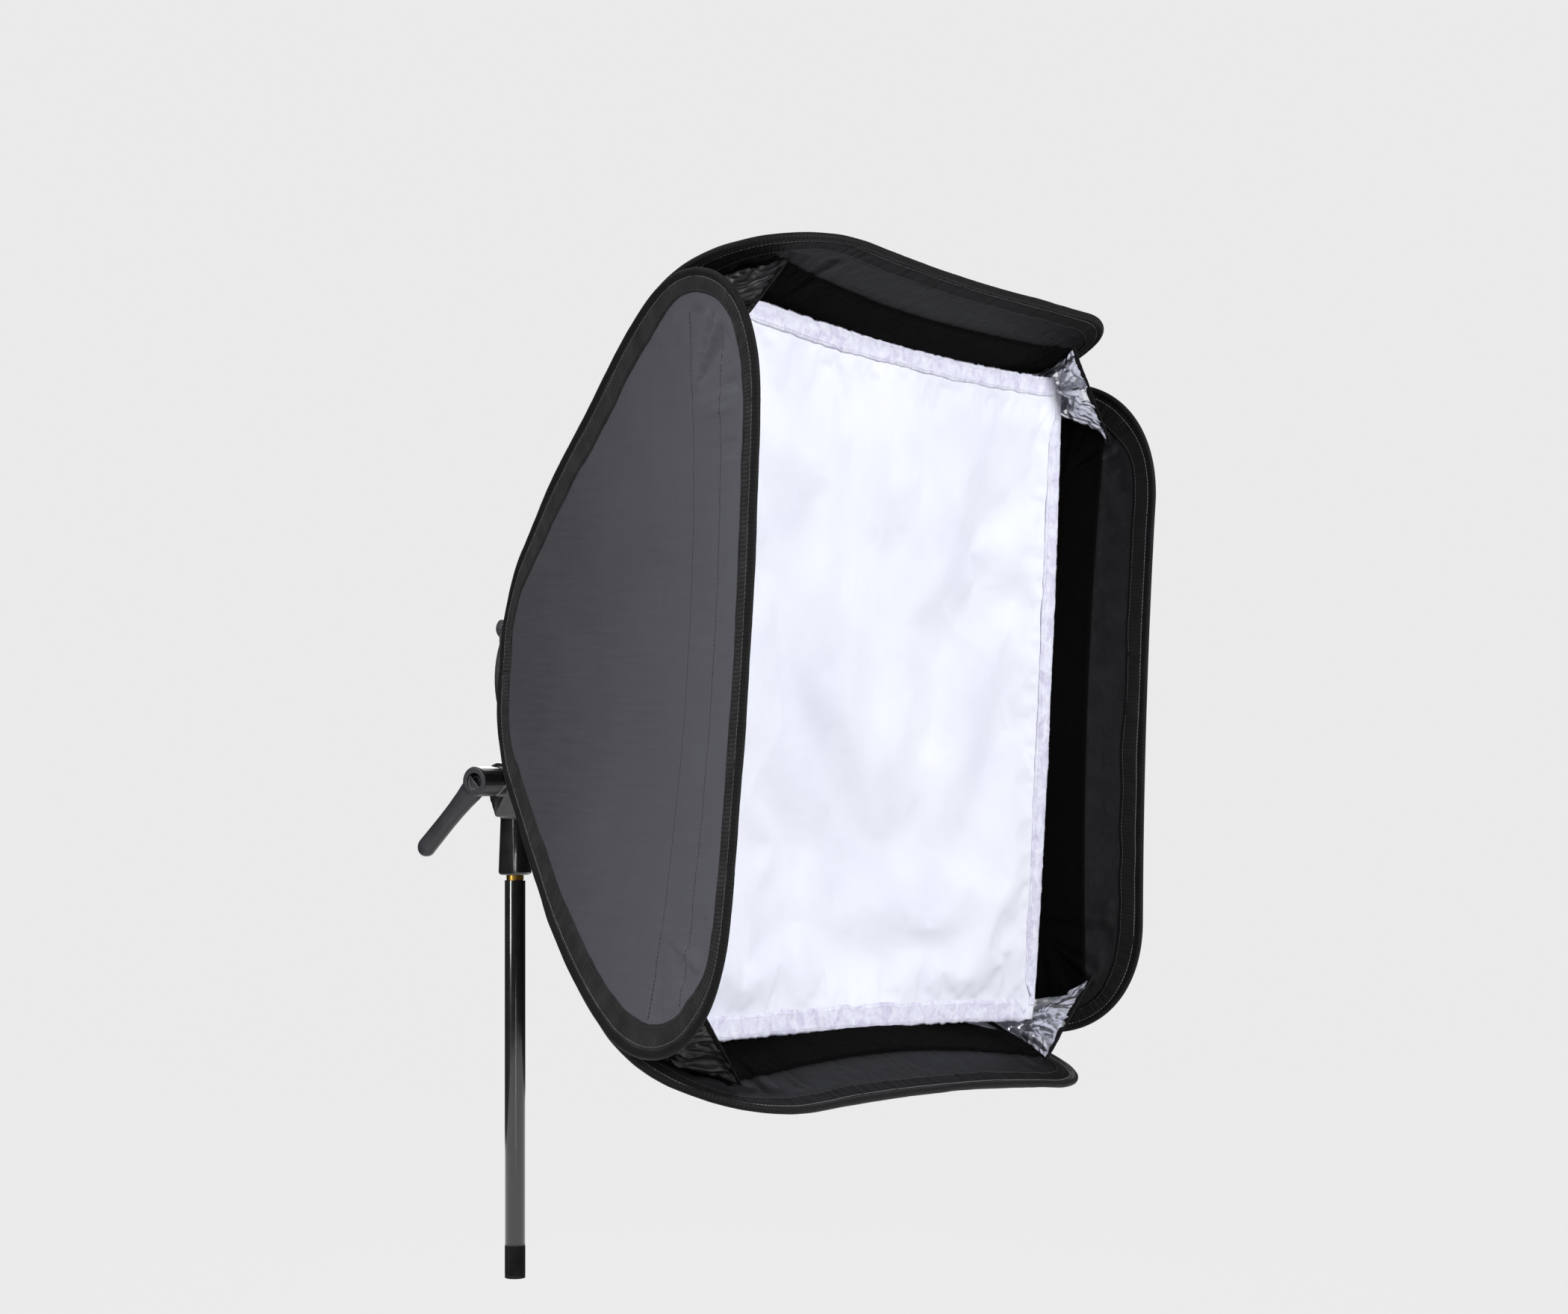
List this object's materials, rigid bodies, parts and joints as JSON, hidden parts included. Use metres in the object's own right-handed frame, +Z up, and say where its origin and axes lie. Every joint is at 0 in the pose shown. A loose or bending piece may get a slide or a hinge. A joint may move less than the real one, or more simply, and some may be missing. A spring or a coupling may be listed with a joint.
{
  "type": "studio softbox",
  "caption": "Square collapsible fabric softbox with a recessed white diffuser, held in a round clamp bracket that tilts on a light-stand tube.",
  "frame": {"origin": "centre of the flat lower face of the stand tube's end plug", "axes": "+Z up along the stand tube, -Y the way the softbox faces, +X to the softbox's right as seen from its front, so the tilt lever is on -X"},
  "size_m": [0.7007, 0.5673, 0.8848],
  "materials": {
    "black_tube": "gloss black anodised tube",
    "black_casting": "satin black powder coat on cast aluminium",
    "black_plastic": "black glass-filled nylon, fine matt grain",
    "steel": "zinc-plated steel",
    "brass": "turned brass, lightly tarnished",
    "rubber": "black rubber and fibre friction material",
    "shell_nylon": "charcoal black plain-weave nylon outside, silver coated inside",
    "binding": "black woven binding tape with a stitch line",
    "pile": "deep matt black loop pile tape",
    "silver_nylon": "crumpled silver-coated nylon, black on the back",
    "white_nylon": "white translucent diffusion nylon",
    "white_hook": "white woven hook tape"
  },
  "bodies": {
    "stand": {"stand_tube": "black_tube", "tube_end_plug": "rubber", "spigot": "brass"},
    "socket": {"stand_socket": "black_casting", "tilt_bolt": "steel", "friction_disc_left": "rubber", "friction_disc_right": "rubber"},
    "stand_lock_screw": {"stand_lock_screw": "steel"},
    "stand_lock_knob": {"stand_lock_knob": "black_plastic"},
    "lever_core": {"lever_insert": "steel", "lever_screw": "steel", "lever_spring": "steel"},
    "tilt_lever": {"tilt_lever": "black_plastic"},
    "head": {"tilt_neck": "black_casting", "clamp_ring": "black_casting", "flash_frame": "black_casting", "lower_pad": "rubber"},
    "ring_lock": {"ring_lock_pin": "steel", "ring_lock_finger": "steel", "ring_lock_knob": "black_plastic"},
    "jaw": {"upper_jaw": "black_casting", "upper_pad": "rubber"},
    "jaw_screw": {"jaw_screw": "steel", "jaw_knob": "black_plastic"},
    "softbox": {"mount_collar": "binding", "collar_hoop": "steel", "panel_left": "shell_nylon", "rim_left": "binding", "edge_tape_left": "binding", "pile_band_left": "pile", "hook_tape_left": "white_hook", "panel_top": "shell_nylon", "rim_top": "binding", "edge_tape_top": "binding", "pile_band_top": "pile", "hook_tape_top": "white_hook", "panel_right": "shell_nylon", "rim_right": "binding", "edge_tape_right": "binding", "pile_band_right": "pile", "hook_tape_right": "white_hook", "panel_bottom": "shell_nylon", "rim_bottom": "binding", "edge_tape_bottom": "binding", "pile_band_bottom": "pile", "hook_tape_bottom": "white_hook", "gusset_top_left": "silver_nylon", "gusset_top_right": "silver_nylon", "gusset_bottom_right": "silver_nylon", "gusset_bottom_left": "silver_nylon", "diffuser": "white_nylon"}
  },
  "joints": [
    {"name": "stand_pan", "type": "hinge", "parent": "stand", "child": "socket", "pos_m": [0, 0, 0.3958], "axis": [0, 0, 1], "continuous": true},
    {"name": "stand_lock_travel", "type": "slide", "parent": "socket", "child": "stand_lock_screw", "axis": [1, 0, 0], "range_m": [0, 0.004]},
    {"name": "stand_lock_turn", "type": "hinge", "parent": "stand_lock_screw", "child": "stand_lock_knob", "pos_m": [0.0278, 0, 0.3958], "axis": [1, 0, 0], "range_deg": [0, 1150]},
    {"name": "lever_turn", "type": "hinge", "parent": "socket", "child": "lever_core", "pos_m": [-0.044, 0, 0.4578], "axis": [1, 0, 0], "range_deg": [-45, 45]},
    {"name": "lever_lift", "type": "slide", "parent": "lever_core", "child": "tilt_lever", "axis": [-1, 0, 0], "range_m": [0, 0.0025], "stiffness_N_per_m": 600, "springref_m": -0.003, "deforming": ["lever_spring"]},
    {"name": "tilt", "type": "hinge", "parent": "socket", "child": "head", "pos_m": [0, 0, 0.4578], "axis": [1, 0, 0], "range_deg": [-45, 50]},
    {"name": "ring_lock_turn", "type": "hinge", "parent": "head", "child": "ring_lock", "pos_m": [-0.05566, -0.04119, 0.59514], "axis": [0, -0.9991, -0.0419], "range_deg": [0, 90]},
    {"name": "jaw_travel", "type": "slide", "parent": "head", "child": "jaw", "axis": [0, 0.0419, -0.9991], "range_m": [0, 0.0345]},
    {"name": "jaw_turn", "type": "hinge", "parent": "jaw", "child": "jaw_screw", "pos_m": [0, -0.02499, 0.59087], "axis": [0, 0.0419, -0.9991], "range_deg": [0, 4130]},
    {"name": "softbox_turn", "type": "hinge", "parent": "head", "child": "softbox", "pos_m": [0, -0.04123, 0.55316], "axis": [0, -0.9991, -0.0419], "continuous": true}
  ],
  "couplings": [
    {"joint": "stand_lock_travel", "follows": "stand_lock_turn", "m_per_rad": 0.00019894},
    {"joint": "jaw_travel", "follows": "jaw_turn", "m_per_rad": 0.00047746}
  ]
}
